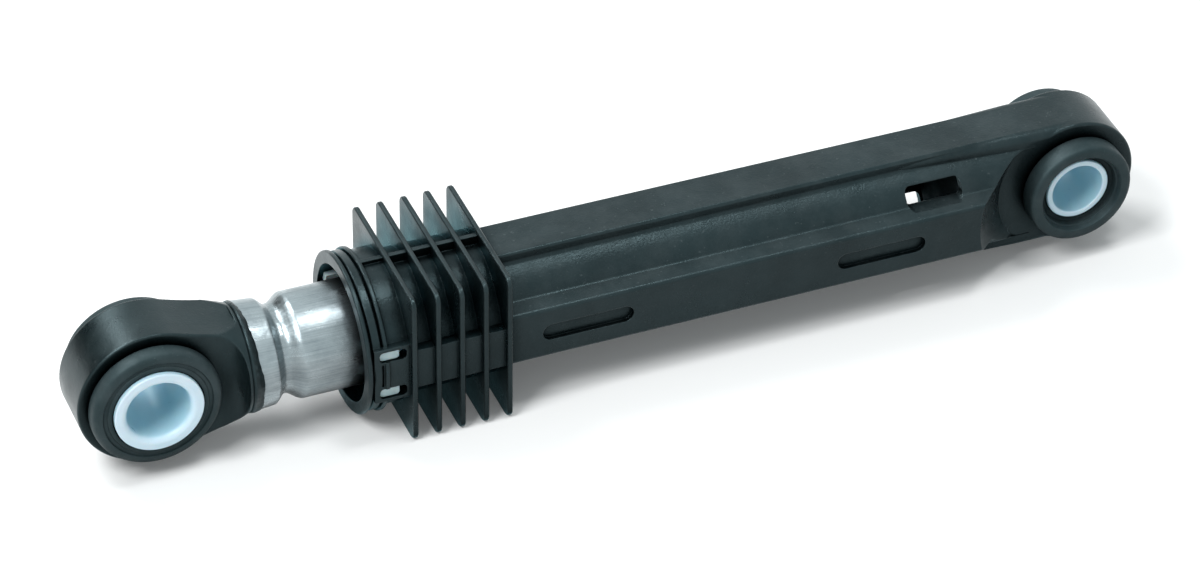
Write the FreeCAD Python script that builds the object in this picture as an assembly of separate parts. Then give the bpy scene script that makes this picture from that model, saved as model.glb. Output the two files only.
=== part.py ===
import FreeCAD, Part
import math
import os

os.makedirs("parts", exist_ok=True)

# Telescopic friction damper lying along X; the rod eye axis is the origin, the housing eye is at +X, Z is up

# Distance between the two eyes, and how much further the rod goes in
EYE_DISTANCE = 183.0
CLOSED_TRAVEL = 13.0
CLOSED_GAP = 1.4

# Clearances: a running fit, two pieces that seat on each other, and play at an end
FIT = 0.05
SEAT = 0.02
END_GAP = 0.3

# Pin bore, sleeve, rubber bush and wall of the rod eye, from the inside out
ROD_SLEEVE_BORE_R = 6.0
ROD_SLEEVE_WALL = 2.4
ROD_RUBBER_WALL = 1.9
ROD_FLANGE_REACH = 2.0
ROD_EYE_WALL = 3.7
ROD_EYE_HALF_T = 5.7
ROD_FLANGE_T = 3.7
ROD_FLANGE_BEVEL = 1.3
ROD_SLEEVE_PROUD = 0.8
ROD_BORE_LEAD_R = 1.2
ROD_RING_GAP = 1.0
ROD_RING_WIDTH = 1.0
ROD_RING_DEPTH = 0.35

# The same for the housing eye
SLEEVE_BORE_R = 5.2
SLEEVE_WALL = 1.2
RUBBER_WALL = 2.3
FLANGE_REACH = 1.8
BOSS_HALF_T = 6.0
FLANGE_T = 4.8
FLANGE_BEVEL = 0.9
SLEEVE_SINK = 1.9
BORE_LEAD_R = 0.3
RECESS_WIDTH = 1.8
RECESS_DEPTH = 2.5

# Details that both bushes and both sleeves share
FLANGE_LIFT = 0.6
SLEEVE_EDGE_R = 0.3

# Rod tube, and the groove rolled into it to hold the rod eye's stem
ROD_R = 10.0
TUBE_WALL = 1.2
LIP_FLARE = 0.4
ROLL_BAND = 4.2
ROLL_FALL = 2.2
ROLL_FLAT = 0.5
ROLL_RISE = 3.0
ROLL_DEPTH = 1.6

# Rod eye moulding: head, hollow flare, shank and stem
HEAD_TO_SHANK = 3.1
SHANK_LENGTH = 1.2
SHANK_LIP = 0.35
SHANK_RISE = 0.2
SHANK_FLARE = 0.3
NECK_RISE = 0.1
NECK_LEVEL = 3.9
FLARE_R = 5.0
EYE_EDGE_R = 0.4
STEM_TAIL = 7.8
STEM_WALL = 3.2
STEM_HOLE_DEPTH = 14.0

# Housing mouth: where it is, its two rims with a land between, and the opening
MOUTH_GAP = 9.6
MOUTH_DEPTH = 7.6
RIM_WIDTH = 0.9
LAND_START = 1.3
LAND_END = 3.0
SECOND_RIM_START = 3.3
RIM_RISE = 0.9
LAND_RISE = 0.5
RIM_GROOVE = 0.2
RIM_BEVEL = 0.2

# Radial build-up of the housing around the rod
BORE_CLEARANCE = 0.4
BARREL_WALL = 1.4
LINING_SPACE = 2.2
MOUTH_STEP = 0.8
CHAMBER_WALL = 1.3
COLLAR_RISE = 1.0

# Rails along the barrel
TOP_RAIL_RISE = 1.2
TOP_RAIL_HALF = 4.85
TOP_EDGE_R = 0.5
SIDE_RAIL_RISE = 1.9
SIDE_RAIL_HALF = 5.4
SIDE_RAIL_SPLAY = 1.0
SIDE_EDGE_R = 0.8
RAIL_ROOT_R = 0.9

# Closed end of the bore, and the web, boss and hollows at the housing eye
BORE_END_TO_EYE = 22.5
WEB_TO_EYE = 36.0
WEB_FULL_TO_EYE = 10.0
WEB_EDGE_R = 1.8
SCOOP_MARGIN = 4.8
SCOOP_SLOPE = 0.95
SCOOP_DEPTH = 12.0
SCOOP_CORNER_R = 1.5
SCOOP_EDGE = 2.9

# Recesses in the side rails and slots beside them
POCKET_LENGTH = 17.9
POCKET_HEIGHT = 3.5
POCKET_DEPTH = 0.9
POCKET_TO_MOUTH = 43.3
POCKET_TO_EYE = 43.0
SLOT_LENGTH = 11.4
SLOT_HEIGHT = 3.3
SLOT_GAP = 0.4
SLOT_TO_BORE_END = 2.4
SLOT_CORNER_R = 1.1

# Cooling fins, and the ribs that tie them together
FIN_COUNT = 5
FIN_PITCH = 4.6
FIN_TO_MOUTH = 8.7
FIN_T = 1.0
FIN_REACH = 1.5
FIN_CORNER_R = 1.8
FIN_BEVEL = 0.2
SIDE_RIB_RISE = 0.5
SIDE_RIB_HALF = 4.2
TOP_RIB_RISE = 0.8
TOP_RIB_HALF = 0.45

# Flat pads of the collar and the snap windows in them
PAD_RISE = 0.35
PAD_HALF = 5.9
WINDOW_TO_MOUTH = 2.3
WINDOW_LENGTH = 5.2
WINDOW_INNER_Z = 3.0
WINDOW_HEIGHT = 2.3
WINDOW_CORNER_R = 0.8
PAD_GROOVE_WIDTH = 0.4
PAD_GROOVE_DEPTH = 0.45

# Lining holder with its snap arms, and the guide bush
HOLDER_TO_MOUTH = 5.4
HOLDER_WALL = 0.9
HOLDER_FLANGE = 1.8
HOLDER_RIB = 1.2
ARM_TO_MOUTH = 1.1
LUG_SINK = 0.2
LUG_PLAY = 0.15
LUG_LENGTH = 3.7
LUG_CORNER_R = 0.6
GUIDE_BUSH_LENGTH = 4.0

# Inner end of the rod, and the buffer that it meets
PLUG_FLANGE_T = 2.0
PLUG_CLEARANCE = 0.6
PLUG_NECK_STEP = 0.8
PLUG_STEM_LENGTH = 9.0
PLUG_WALL = 2.5
GUIDE_RING_LENGTH = 4.4
BUFFER_T = 2.1
END_BEVEL = 0.5

# Radii that follow from the ones above
TUBE_BORE_R = ROD_R - TUBE_WALL
ROD_SLEEVE_R = ROD_SLEEVE_BORE_R + ROD_SLEEVE_WALL
ROD_EYE_BORE_R = ROD_SLEEVE_R + ROD_RUBBER_WALL
ROD_EYE_R = ROD_EYE_BORE_R + ROD_EYE_WALL
SHANK_R = ROD_R + SHANK_RISE
SHANK_ROOT_R = SHANK_R + SHANK_FLARE
SLEEVE_R = SLEEVE_BORE_R + SLEEVE_WALL
BOSS_BORE_R = SLEEVE_R + RUBBER_WALL
SCOOP_R = BOSS_BORE_R + FLANGE_REACH + SCOOP_MARGIN
BORE_R = ROD_R + BORE_CLEARANCE
BARREL_R = BORE_R + BARREL_WALL
TOP_RAIL_Z = BARREL_R + TOP_RAIL_RISE
SIDE_RAIL_Y = BARREL_R + SIDE_RAIL_RISE
CHAMBER_R = ROD_R + LINING_SPACE
MOUTH_BORE_R = CHAMBER_R + MOUTH_STEP
FIN_ROOT_R = CHAMBER_R + CHAMBER_WALL
COLLAR_R = FIN_ROOT_R + COLLAR_RISE
RIM_R = COLLAR_R + RIM_RISE
PAD_Y = COLLAR_R + PAD_RISE
FIN_HALF = COLLAR_R + FIN_REACH
PLUG_NECK_R = TUBE_BORE_R - PLUG_NECK_STEP

# Stations along the rod that follow from the ones above
SHANK_START_X = ROD_EYE_R + HEAD_TO_SHANK
TUBE_START_X = SHANK_START_X + SHANK_LENGTH
ROLL_START_X = TUBE_START_X + ROLL_BAND
ROLL_VALLEY_X = ROLL_START_X + ROLL_FALL
ROLL_TURN_X = ROLL_VALLEY_X + ROLL_FLAT
ROLL_END_X = ROLL_TURN_X + ROLL_RISE
STEM_END_X = ROLL_END_X + STEM_TAIL
MOUTH_X = ROLL_END_X + MOUTH_GAP
FIN_FIRST_X = MOUTH_X + FIN_TO_MOUTH
COLLAR_END_X = FIN_FIRST_X + (FIN_COUNT - 1) * FIN_PITCH + FIN_T / 2
BORE_END_X = EYE_DISTANCE - BORE_END_TO_EYE
ROD_END_X = BORE_END_X - BUFFER_T - CLOSED_GAP - CLOSED_TRAVEL
TUBE_END_X = ROD_END_X - PLUG_FLANGE_T - GUIDE_RING_LENGTH - 2 * END_GAP
HOLDER_START_X = MOUTH_X + HOLDER_TO_MOUTH
HOLDER_END_X = COLLAR_END_X - SEAT
WINDOW_X = MOUTH_X + WINDOW_TO_MOUTH
AXIS_X = FreeCAD.Vector(1, 0, 0)
AXIS_Y = FreeCAD.Vector(0, 1, 0)
AXIS_Z = FreeCAD.Vector(0, 0, 1)
ORIGIN = FreeCAD.Vector(0, 0, 0)


def vec(x, y, z):
    return FreeCAD.Vector(x, y, z)


def save(name, shape):
    solid = shape.removeSplitter()
    if len(solid.Solids) == 1:
        solid = solid.Solids[0]
    solid.exportStep("parts/" + name + ".step")


def rod_x(radius, start, end):
    return Part.makeCylinder(radius, end - start, vec(start, 0, 0), AXIS_X)


def ring_x(outer, inner, start, end):
    return rod_x(outer, start, end).cut(rod_x(inner, start - 1, end + 1))


def rod_y(x, radius, half):
    return Part.makeCylinder(radius, 2 * half, vec(x, -half, 0), AXIS_Y)


def block(x0, x1, y0, y1, z0, z1):
    return Part.makeBox(x1 - x0, y1 - y0, z1 - z0, vec(x0, y0, z0))


def revolve_x(profile):
    points = [vec(x, 0, r) for x, r in profile]
    wire = Part.makePolygon(points + [points[0]])
    return Part.Face(wire).revolve(ORIGIN, AXIS_X, 360)


def mirrored(shape, axis):
    return shape.mirror(ORIGIN, axis)


def both_sides(shape, axis):
    return shape.fuse(mirrored(shape, axis))


# Full circular edges that lie at one station along the rod
def rims_at(shape, x):
    circles = [e for e in shape.Edges if len(e.Vertexes) == 1]
    return [e for e in circles if abs(e.CenterOfMass.x - x) < 0.01]


# Smooth step from one radius to another that is level at both ends
def s_curve(x0, r0, x1, r1):
    hold = 0.33 * (x1 - x0)
    curve = Part.BezierCurve()
    curve.setPoles([vec(x0, 0, r0), vec(x0 + hold, 0, r0), vec(x1 - hold, 0, r1), vec(x1, 0, r1)])
    return curve.toShape()


# Turned solid whose radius follows the tube: a slightly flared lip, then the rolled groove
def rolled_solid(base_r, start, end, room=0.0):
    low_r = base_r - ROLL_DEPTH
    lip_r = base_r + LIP_FLARE * (ROLL_START_X - start) / ROLL_BAND
    fall = ROLL_START_X - room
    rise = ROLL_END_X + room
    line = lambda x0, r0, x1, r1: Part.makeLine(vec(x0, 0, r0), vec(x1, 0, r1))
    edges = [
        line(start, 0, start, lip_r),
        line(start, lip_r, fall, base_r),
        s_curve(fall, base_r, ROLL_VALLEY_X - room, low_r),
        line(ROLL_VALLEY_X - room, low_r, ROLL_TURN_X + room, low_r),
        s_curve(ROLL_TURN_X + room, low_r, rise, base_r),
        line(rise, base_r, end, base_r),
        line(end, base_r, end, 0),
        line(end, 0, start, 0),
    ]
    return Part.Face(Part.Wire(edges)).revolve(ORIGIN, AXIS_X, 360)


def rod_tube():
    outer = rolled_solid(ROD_R, TUBE_START_X, TUBE_END_X)
    inner = rolled_solid(TUBE_BORE_R, TUBE_START_X - 1, TUBE_END_X + 1)
    return outer.cut(inner)


# Side outline of the rod eye: a round head whose flanks run out level to the shank
def rod_eye_outline():
    reach = SHANK_START_X
    neck = ROD_R + NECK_RISE
    level = reach - NECK_LEVEL
    tangent = math.atan2(neck, level) + math.acos(ROD_EYE_R / math.hypot(level, neck))
    back = vec(-ROD_EYE_R, 0, 0)
    ends = []
    flanks = []
    for side in (1, -1):
        touch = vec(ROD_EYE_R * math.cos(tangent), 0, side * ROD_EYE_R * math.sin(tangent))
        end = vec(reach, 0, side * neck)
        curve = Part.BezierCurve()
        curve.setPoles([touch, vec(level, 0, side * neck), end])
        ends += [touch, end]
        flanks.append(curve.toShape())
    head = Part.Arc(ends[0], back, ends[2]).toShape()
    root = Part.makeLine(ends[3], ends[1])
    face = Part.Face(Part.Wire([head, flanks[1], root, flanks[0]]))
    face.translate(vec(0, -SHANK_ROOT_R, 0))
    return face.extrude(vec(0, 2 * SHANK_ROOT_R, 0))


# The flare is a quarter turn, limited by how far the shank stands out past the cheek
def flare_radius():
    return min(FLARE_R, SHANK_ROOT_R - ROD_EYE_HALF_T - SHANK_LIP / 2)


# Plan outline of the rod eye: flat cheeks that flare out in a hollow curve to the shank
def rod_eye_plan():
    flare = flare_radius()
    slant = flare * (1 - math.sqrt(0.5))
    start = vec(SHANK_START_X - flare, ROD_EYE_HALF_T, 0)
    middle = vec(SHANK_START_X - slant, ROD_EYE_HALF_T + slant, 0)
    rise = vec(SHANK_START_X, ROD_EYE_HALF_T + flare, 0)
    end = vec(SHANK_START_X, SHANK_ROOT_R, 0)
    flip = lambda p: vec(p.x, -p.y, p.z)
    left = vec(-ROD_EYE_R - 1, ROD_EYE_HALF_T, 0)
    edges = [
        Part.makeLine(left, start),
        Part.Arc(start, middle, rise).toShape(),
        Part.makeLine(rise, end),
        Part.makeLine(end, flip(end)),
        Part.makeLine(flip(end), flip(rise)),
        Part.Arc(flip(rise), flip(middle), flip(start)).toShape(),
        Part.makeLine(flip(start), flip(left)),
        Part.makeLine(flip(left), left),
    ]
    face = Part.Face(Part.Wire(edges))
    face.translate(vec(0, 0, -ROD_EYE_R - 1))
    return face.extrude(vec(0, 0, 2 * ROD_EYE_R + 2))


# Edges of the head between its round outline and its flat cheeks
def cheek_edges(head):
    flare_x = SHANK_START_X - flare_radius()
    found = []
    for e in head.Edges:
        box = e.BoundBox
        on_cheek = box.YLength < 0.01 and abs(abs(box.YMin) - ROD_EYE_HALF_T) < 0.01
        if on_cheek and box.XMin < flare_x - 1:
            found.append(e)
    return found


def rod_eye():
    shank_end = TUBE_START_X - SHANK_LIP
    slope = (SHANK_ROOT_R - SHANK_R) / (shank_end - SHANK_START_X)
    wide = ROD_EYE_R + SHANK_ROOT_R
    cone_start = SHANK_START_X - (wide - SHANK_ROOT_R) / slope
    envelope = revolve_x([
        (cone_start, 0),
        (cone_start, wide),
        (shank_end, SHANK_R),
        (shank_end, 0),
    ])
    head = rod_eye_outline().common(rod_eye_plan())
    head = head.makeFillet(EYE_EDGE_R, cheek_edges(head))
    shank = revolve_x([
        (SHANK_START_X, 0),
        (SHANK_START_X, SHANK_ROOT_R),
        (shank_end, SHANK_R),
        (shank_end, 0),
    ])
    outside = head.common(envelope).fuse(shank)
    neck = rod_x(TUBE_BORE_R - SEAT, shank_end, TUBE_START_X)
    stem = rolled_solid(TUBE_BORE_R - SEAT, TUBE_START_X, STEM_END_X, 2 * SEAT)
    bore = rod_y(0, ROD_EYE_BORE_R, ROD_EYE_R)
    core_hole = rod_x(TUBE_BORE_R - STEM_WALL, STEM_END_X - STEM_HOLE_DEPTH, STEM_END_X + 1)
    return outside.fuse([neck, stem]).cut(bore).cut(core_hole)


# Spool of rubber: a neck in the eye bore and a flange on each cheek, whose face is given as further steps
def bush(x, sleeve_r, bore_r, reach, cheek, half, bevel, face):
    flange_r = bore_r + reach
    steps = [
        (0, bore_r - SEAT),
        (cheek + FLANGE_LIFT, bore_r - SEAT),
        (cheek + FLANGE_LIFT, flange_r),
        (half - bevel, flange_r),
        (half, flange_r - bevel),
    ]
    steps += face
    steps += [(face[-1][0], sleeve_r + SEAT), (0, sleeve_r + SEAT)]
    points = [vec(r, y, 0) for y, r in steps]
    wire = Part.makePolygon(points + [points[0]])
    spool = Part.Face(wire).revolve(ORIGIN, AXIS_Y, 360)
    spool = both_sides(spool, AXIS_Y)
    spool.translate(vec(x, 0, 0))
    return spool


# The face of this flange has a shallow ring a little away from the sleeve
def rod_eye_bush():
    half = ROD_EYE_HALF_T + ROD_FLANGE_T
    ring_in = ROD_SLEEVE_R + ROD_RING_GAP
    ring_out = ring_in + ROD_RING_WIDTH
    slant = ROD_RING_DEPTH / 2
    face = [
        (half, ring_out),
        (half - ROD_RING_DEPTH, ring_out - slant),
        (half - ROD_RING_DEPTH, ring_in + slant),
        (half, ring_in),
    ]
    reach = ROD_FLANGE_REACH
    return bush(0, ROD_SLEEVE_R, ROD_EYE_BORE_R, reach, ROD_EYE_HALF_T, half, ROD_FLANGE_BEVEL, face)


# The face of this flange is sunk around the sleeve
def housing_eye_bush():
    half = BOSS_HALF_T + FLANGE_T
    rim = SLEEVE_R + RECESS_WIDTH
    face = [(half, rim), (half - RECESS_DEPTH, rim - RECESS_DEPTH / 3)]
    return bush(EYE_DISTANCE, SLEEVE_R, BOSS_BORE_R, FLANGE_REACH, BOSS_HALF_T, half, FLANGE_BEVEL, face)


def sleeve(x, outer_r, bore_r, half, lead_r):
    tube = rod_y(x, outer_r, half).cut(rod_y(x, bore_r, half + 1))
    rims = [e for e in tube.Edges if len(e.Vertexes) == 1 and abs(abs(e.CenterOfMass.y) - half) < 0.01]
    middle_r = (outer_r + bore_r) / 2
    tube = tube.makeFillet(lead_r, [e for e in rims if e.Curve.Radius < middle_r])
    rims = [e for e in tube.Edges if len(e.Vertexes) == 1 and abs(abs(e.CenterOfMass.y) - half) < 0.01]
    return tube.makeFillet(SLEEVE_EDGE_R, [e for e in rims if e.Curve.Radius > outer_r - 0.01])


def rod_eye_sleeve():
    half = ROD_EYE_HALF_T + ROD_FLANGE_T + ROD_SLEEVE_PROUD
    return sleeve(0, ROD_SLEEVE_R, ROD_SLEEVE_BORE_R, half, ROD_BORE_LEAD_R)


def housing_eye_sleeve():
    half = BOSS_HALF_T + FLANGE_T - SLEEVE_SINK
    return sleeve(EYE_DISTANCE, SLEEVE_R, SLEEVE_BORE_R, half, BORE_LEAD_R)


# Side rail outline: a flat face with slightly sloping ledges down to the barrel
def side_rail(start, end):
    root_y = BARREL_R - 3
    root_half = SIDE_RAIL_HALF + SIDE_RAIL_SPLAY
    corners = [
        (-root_y, root_half),
        (-SIDE_RAIL_Y, SIDE_RAIL_HALF),
        (-SIDE_RAIL_Y, -SIDE_RAIL_HALF),
        (-root_y, -root_half),
    ]
    points = [vec(start, y, z) for y, z in corners]
    wire = Part.makePolygon(points + [points[0]])
    rail = Part.Face(wire).extrude(vec(end - start, 0, 0))
    return both_sides(rail, AXIS_Y)


def lengthwise_edges(body, length, wanted):
    found = []
    for e in body.Edges:
        p = e.CenterOfMass
        if abs(e.BoundBox.XLength - length) < 0.1 and wanted(abs(p.y), abs(p.z)):
            found.append(e)
    return found


# Barrel with a flat rail on each of its four sides, all running along the housing
def barrel_and_rails():
    start = COLLAR_END_X - 1
    end = EYE_DISTANCE - math.sqrt(TOP_RAIL_Z ** 2 - (TOP_RAIL_Z - SCOOP_EDGE) ** 2)
    length = end - start
    body = rod_x(BARREL_R, start, end)
    upright = block(start, end, -TOP_RAIL_HALF, TOP_RAIL_HALF, -TOP_RAIL_Z, TOP_RAIL_Z)
    body = body.fuse([upright, side_rail(start, end)]).removeSplitter()
    roots = lengthwise_edges(body, length, lambda y, z: abs(math.hypot(y, z) - BARREL_R) < 0.05)
    body = body.makeFillet(RAIL_ROOT_R, roots)
    tops = lengthwise_edges(
        body, length, lambda y, z: abs(z - TOP_RAIL_Z) < 0.05 and abs(y - TOP_RAIL_HALF) < 0.05)
    body = body.makeFillet(TOP_EDGE_R, tops)
    sides = lengthwise_edges(
        body, length, lambda y, z: abs(y - SIDE_RAIL_Y) < 0.05 and abs(z - SIDE_RAIL_HALF) < 0.05)
    return body.makeFillet(SIDE_EDGE_R, sides)


# Hollow cone about the housing eye axis that thins the body down to the flat boss
def scoop():
    far = SCOOP_R + SCOOP_SLOPE * SCOOP_DEPTH
    cone = Part.makeCone(SCOOP_R, far, SCOOP_DEPTH, vec(EYE_DISTANCE, BOSS_HALF_T, 0), AXIS_Y)
    left = EYE_DISTANCE - far - 1
    right = EYE_DISTANCE + far + 1
    half_z = TOP_RAIL_Z - SCOOP_EDGE
    slab = block(left, right, 0, BOSS_HALF_T + SCOOP_DEPTH, -half_z, half_z)
    cut = cone.common(slab)
    corners = [e for e in cut.Edges if e.BoundBox.YLength > 1 and e.CenterOfMass.x < EYE_DISTANCE - 9]
    return both_sides(cut.makeFillet(SCOOP_CORNER_R, corners), AXIS_Y)


# Flat boss around the housing eye, on a web that widens from the top rail and has soft long edges
def eye_boss():
    start = EYE_DISTANCE - WEB_TO_EYE
    full = EYE_DISTANCE - WEB_FULL_TO_EYE
    corners = [
        (start, -TOP_RAIL_HALF),
        (full, -BOSS_HALF_T),
        (EYE_DISTANCE, -BOSS_HALF_T),
        (EYE_DISTANCE, BOSS_HALF_T),
        (full, BOSS_HALF_T),
        (start, TOP_RAIL_HALF),
    ]
    points = [vec(x, y, -TOP_RAIL_Z) for x, y in corners]
    plan = Part.Face(Part.makePolygon(points + [points[0]]))
    web = plan.extrude(vec(0, 0, 2 * TOP_RAIL_Z))
    edges = [e for e in web.Edges if e.BoundBox.XLength > 1]
    web = web.makeFillet(WEB_EDGE_R, edges)
    round_end = rod_y(EYE_DISTANCE, TOP_RAIL_Z, BOSS_HALF_T)
    rims = [e for e in round_end.Edges if len(e.Vertexes) == 1]
    return web.fuse(round_end.makeFillet(TOP_EDGE_R, rims)).removeSplitter()


def fin(x):
    half = FIN_HALF
    plate = block(x - FIN_T / 2, x + FIN_T / 2, -half, half, -half, half)
    corners = [e for e in plate.Edges if e.BoundBox.XLength > 0.5 * FIN_T]
    plate = plate.makeFillet(FIN_CORNER_R, corners)
    outline = [e for e in plate.Edges if e.BoundBox.XLength < 0.1 * FIN_T]
    return plate.makeChamfer(FIN_BEVEL, outline)


# Turned collar: two rims with a land between, then the seat of the fins
def collar():
    groove_r = COLLAR_R - RIM_GROOVE
    land_r = COLLAR_R + LAND_RISE
    second_end = MOUTH_X + SECOND_RIM_START + RIM_WIDTH
    turned = revolve_x([
        (MOUTH_X, 0),
        (MOUTH_X, RIM_R),
        (MOUTH_X + RIM_WIDTH, RIM_R),
        (MOUTH_X + RIM_WIDTH, groove_r),
        (MOUTH_X + LAND_START, groove_r),
        (MOUTH_X + LAND_START, land_r),
        (MOUTH_X + LAND_END, land_r),
        (MOUTH_X + LAND_END, groove_r),
        (MOUTH_X + SECOND_RIM_START, groove_r),
        (MOUTH_X + SECOND_RIM_START, RIM_R),
        (second_end, RIM_R),
        (second_end, COLLAR_R),
        (FIN_FIRST_X, COLLAR_R),
        (FIN_FIRST_X, FIN_ROOT_R),
        (COLLAR_END_X, FIN_ROOT_R),
        (COLLAR_END_X, 0),
    ])
    outer = [e for e in turned.Edges if len(e.Vertexes) == 1 and e.Curve.Radius > land_r - 0.01]
    return turned.makeChamfer(RIM_BEVEL, outer)


# Flat pads on the collar in line with the side rails
def collar_pad():
    pad = block(MOUTH_X + LAND_START, FIN_FIRST_X, -PAD_Y, -CHAMBER_R, -PAD_HALF, PAD_HALF)
    return both_sides(pad, AXIS_Y)


# Snap windows in both pads, and the fine groove across the bar between each pair
def windows():
    y_out = RIM_R + 1
    outer_z = WINDOW_INNER_Z + WINDOW_HEIGHT
    cut = block(WINDOW_X, WINDOW_X + WINDOW_LENGTH, -y_out, -ROD_R, WINDOW_INNER_Z, outer_z)
    cut = cut.makeFillet(WINDOW_CORNER_R, [e for e in cut.Edges if e.BoundBox.YLength > 1])
    cut = both_sides(both_sides(cut, AXIS_Z), AXIS_Y)
    groove_x = WINDOW_X + PAD_GROOVE_WIDTH
    groove_z = WINDOW_INNER_Z - 0.5
    groove_y = -PAD_Y + PAD_GROOVE_DEPTH
    groove = block(groove_x, groove_x + PAD_GROOVE_WIDTH, -y_out, groove_y, -groove_z, groove_z)
    return cut.fuse(both_sides(groove, AXIS_Y))


def pocket(x):
    flat = POCKET_LENGTH - POCKET_HEIGHT
    r = POCKET_HEIGHT / 2
    floor_y = SIDE_RAIL_Y - POCKET_DEPTH
    shape = block(x - flat / 2, x + flat / 2, floor_y, SIDE_RAIL_Y + 2, -r, r)
    for side in (-1, 1):
        end = Part.makeCylinder(r, POCKET_DEPTH + 2, vec(x + side * flat / 2, floor_y, 0), AXIS_Y)
        shape = shape.fuse(end)
    return both_sides(shape.removeSplitter(), AXIS_Y)


def slots():
    end = BORE_END_X - SLOT_TO_BORE_END
    low = SIDE_RAIL_HALF + SLOT_GAP
    cut = block(end - SLOT_LENGTH, end, -SIDE_RAIL_Y - 1, SIDE_RAIL_Y + 1, low, low + SLOT_HEIGHT)
    corners = [e for e in cut.Edges if e.BoundBox.YLength > 1]
    cut = cut.makeFillet(SLOT_CORNER_R, corners)
    return both_sides(cut, AXIS_Z)


# Low ribs that tie the fins together: a thin one on top and bottom, a wide one on each side
def fin_ribs():
    start = MOUTH_X + SECOND_RIM_START
    ridge_z = COLLAR_R + TOP_RIB_RISE
    side_y = COLLAR_R + SIDE_RIB_RISE
    ridge = block(start, COLLAR_END_X, -TOP_RIB_HALF, TOP_RIB_HALF, CHAMBER_R, ridge_z)
    side = block(FIN_FIRST_X, COLLAR_END_X, -side_y, -CHAMBER_R, -SIDE_RIB_HALF, SIDE_RIB_HALF)
    return both_sides(ridge, AXIS_Z).fuse(both_sides(side, AXIS_Y))


def housing_shell():
    fins = [fin(FIN_FIRST_X + i * FIN_PITCH) for i in range(FIN_COUNT)]
    body = barrel_and_rails().fuse(eye_boss()).cut(scoop())
    body = body.fuse([collar(), collar_pad(), fin_ribs()] + fins)
    mouth = rod_x(MOUTH_BORE_R, MOUTH_X - 1, MOUTH_X + MOUTH_DEPTH)
    chamber = rod_x(CHAMBER_R, MOUTH_X - 1, COLLAR_END_X)
    bore = rod_x(BORE_R, COLLAR_END_X - 1, BORE_END_X)
    eye_bore = rod_y(EYE_DISTANCE, BOSS_BORE_R, BOSS_HALF_T + 1)
    pockets = [pocket(MOUTH_X + POCKET_TO_MOUTH), pocket(EYE_DISTANCE - POCKET_TO_EYE)]
    return body.cut([mouth, chamber, bore, eye_bore, windows(), slots()] + pockets)


# Sleeve that carries the friction linings, with inner ribs beside them
def holder_sleeve():
    outer = CHAMBER_R - SEAT
    inner = outer - HOLDER_WALL
    flange_end = MOUTH_X + MOUTH_DEPTH - SEAT
    shell = ring_x(outer, inner, HOLDER_START_X, HOLDER_END_X)
    shell = shell.fuse(ring_x(MOUTH_BORE_R - SEAT, inner, flange_end - HOLDER_FLANGE, flange_end))
    last = HOLDER_END_X - GUIDE_BUSH_LENGTH - HOLDER_RIB
    middle = (HOLDER_START_X + last) / 2
    for x in (HOLDER_START_X, middle, last):
        shell = shell.fuse(ring_x(outer, BORE_R, x, x + HOLDER_RIB))
    return shell


# Four snap arms that run from the holder's flange to lugs in the collar windows
def snap_arms():
    outer = CHAMBER_R - SEAT
    arm_r = MOUTH_BORE_R - SEAT
    inner = outer - HOLDER_WALL / 2
    end = MOUTH_X + MOUTH_DEPTH - HOLDER_FLANGE
    z0 = WINDOW_INNER_Z + LUG_PLAY
    z1 = WINDOW_INNER_Z + WINDOW_HEIGHT - LUG_PLAY
    ring = ring_x(arm_r, inner, MOUTH_X + ARM_TO_MOUTH, end)
    arm = ring.common(block(MOUTH_X, end, -arm_r - 1, 0, z0, z1))
    lug_y = COLLAR_R - LUG_SINK
    lug_x = WINDOW_X + LUG_PLAY
    lug = block(lug_x, lug_x + LUG_LENGTH, -lug_y, -ROD_R, z0, z1)
    lug = lug.makeFillet(LUG_CORNER_R, [e for e in lug.Edges if e.BoundBox.YLength > 1])
    lug = lug.cut(rod_x(inner, MOUTH_X, COLLAR_END_X))
    return both_sides(both_sides(arm.fuse(lug), AXIS_Z), AXIS_Y)


def lining_holder():
    return holder_sleeve().fuse(snap_arms())


# Both linings are alike: each fills the space between two ribs of the holder
def friction_lining(inner_one):
    last = HOLDER_END_X - GUIDE_BUSH_LENGTH - HOLDER_RIB
    middle = (HOLDER_START_X + last) / 2
    start = (middle if inner_one else HOLDER_START_X) + HOLDER_RIB + SEAT
    end = (last if inner_one else middle) - SEAT
    return ring_x(CHAMBER_R - HOLDER_WALL - 2 * SEAT, ROD_R + FIT, start, end)


def guide_bush():
    start = HOLDER_END_X - GUIDE_BUSH_LENGTH + SEAT
    return ring_x(CHAMBER_R - HOLDER_WALL - 2 * SEAT, ROD_R + FIT, start, HOLDER_END_X)


def end_buffer():
    face_x = BORE_END_X - BUFFER_T
    pad = rod_x(BORE_R - SEAT, face_x, BORE_END_X)
    return pad.makeChamfer(END_BEVEL, rims_at(pad, face_x))


def rod_end_plug():
    stem = rod_x(TUBE_BORE_R - SEAT, TUBE_END_X - PLUG_STEM_LENGTH, TUBE_END_X)
    neck = rod_x(PLUG_NECK_R, TUBE_END_X, ROD_END_X - PLUG_FLANGE_T)
    flange = rod_x(BORE_R - PLUG_CLEARANCE, ROD_END_X - PLUG_FLANGE_T, ROD_END_X)
    flange = flange.makeChamfer(END_BEVEL, rims_at(flange, ROD_END_X))
    hollow_r = PLUG_NECK_R - PLUG_WALL
    hollow = rod_x(hollow_r, TUBE_END_X - PLUG_STEM_LENGTH - 1, ROD_END_X - PLUG_FLANGE_T - 1)
    return stem.fuse([neck, flange]).cut(hollow)


def guide_ring():
    start = TUBE_END_X + END_GAP
    ring = ring_x(BORE_R - FIT, PLUG_NECK_R + FIT, start, start + GUIDE_RING_LENGTH)
    rims = [e for e in ring.Edges if len(e.Vertexes) == 1 and e.Curve.Radius > BORE_R - 2 * FIT]
    return ring.makeChamfer(END_BEVEL, rims)


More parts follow.
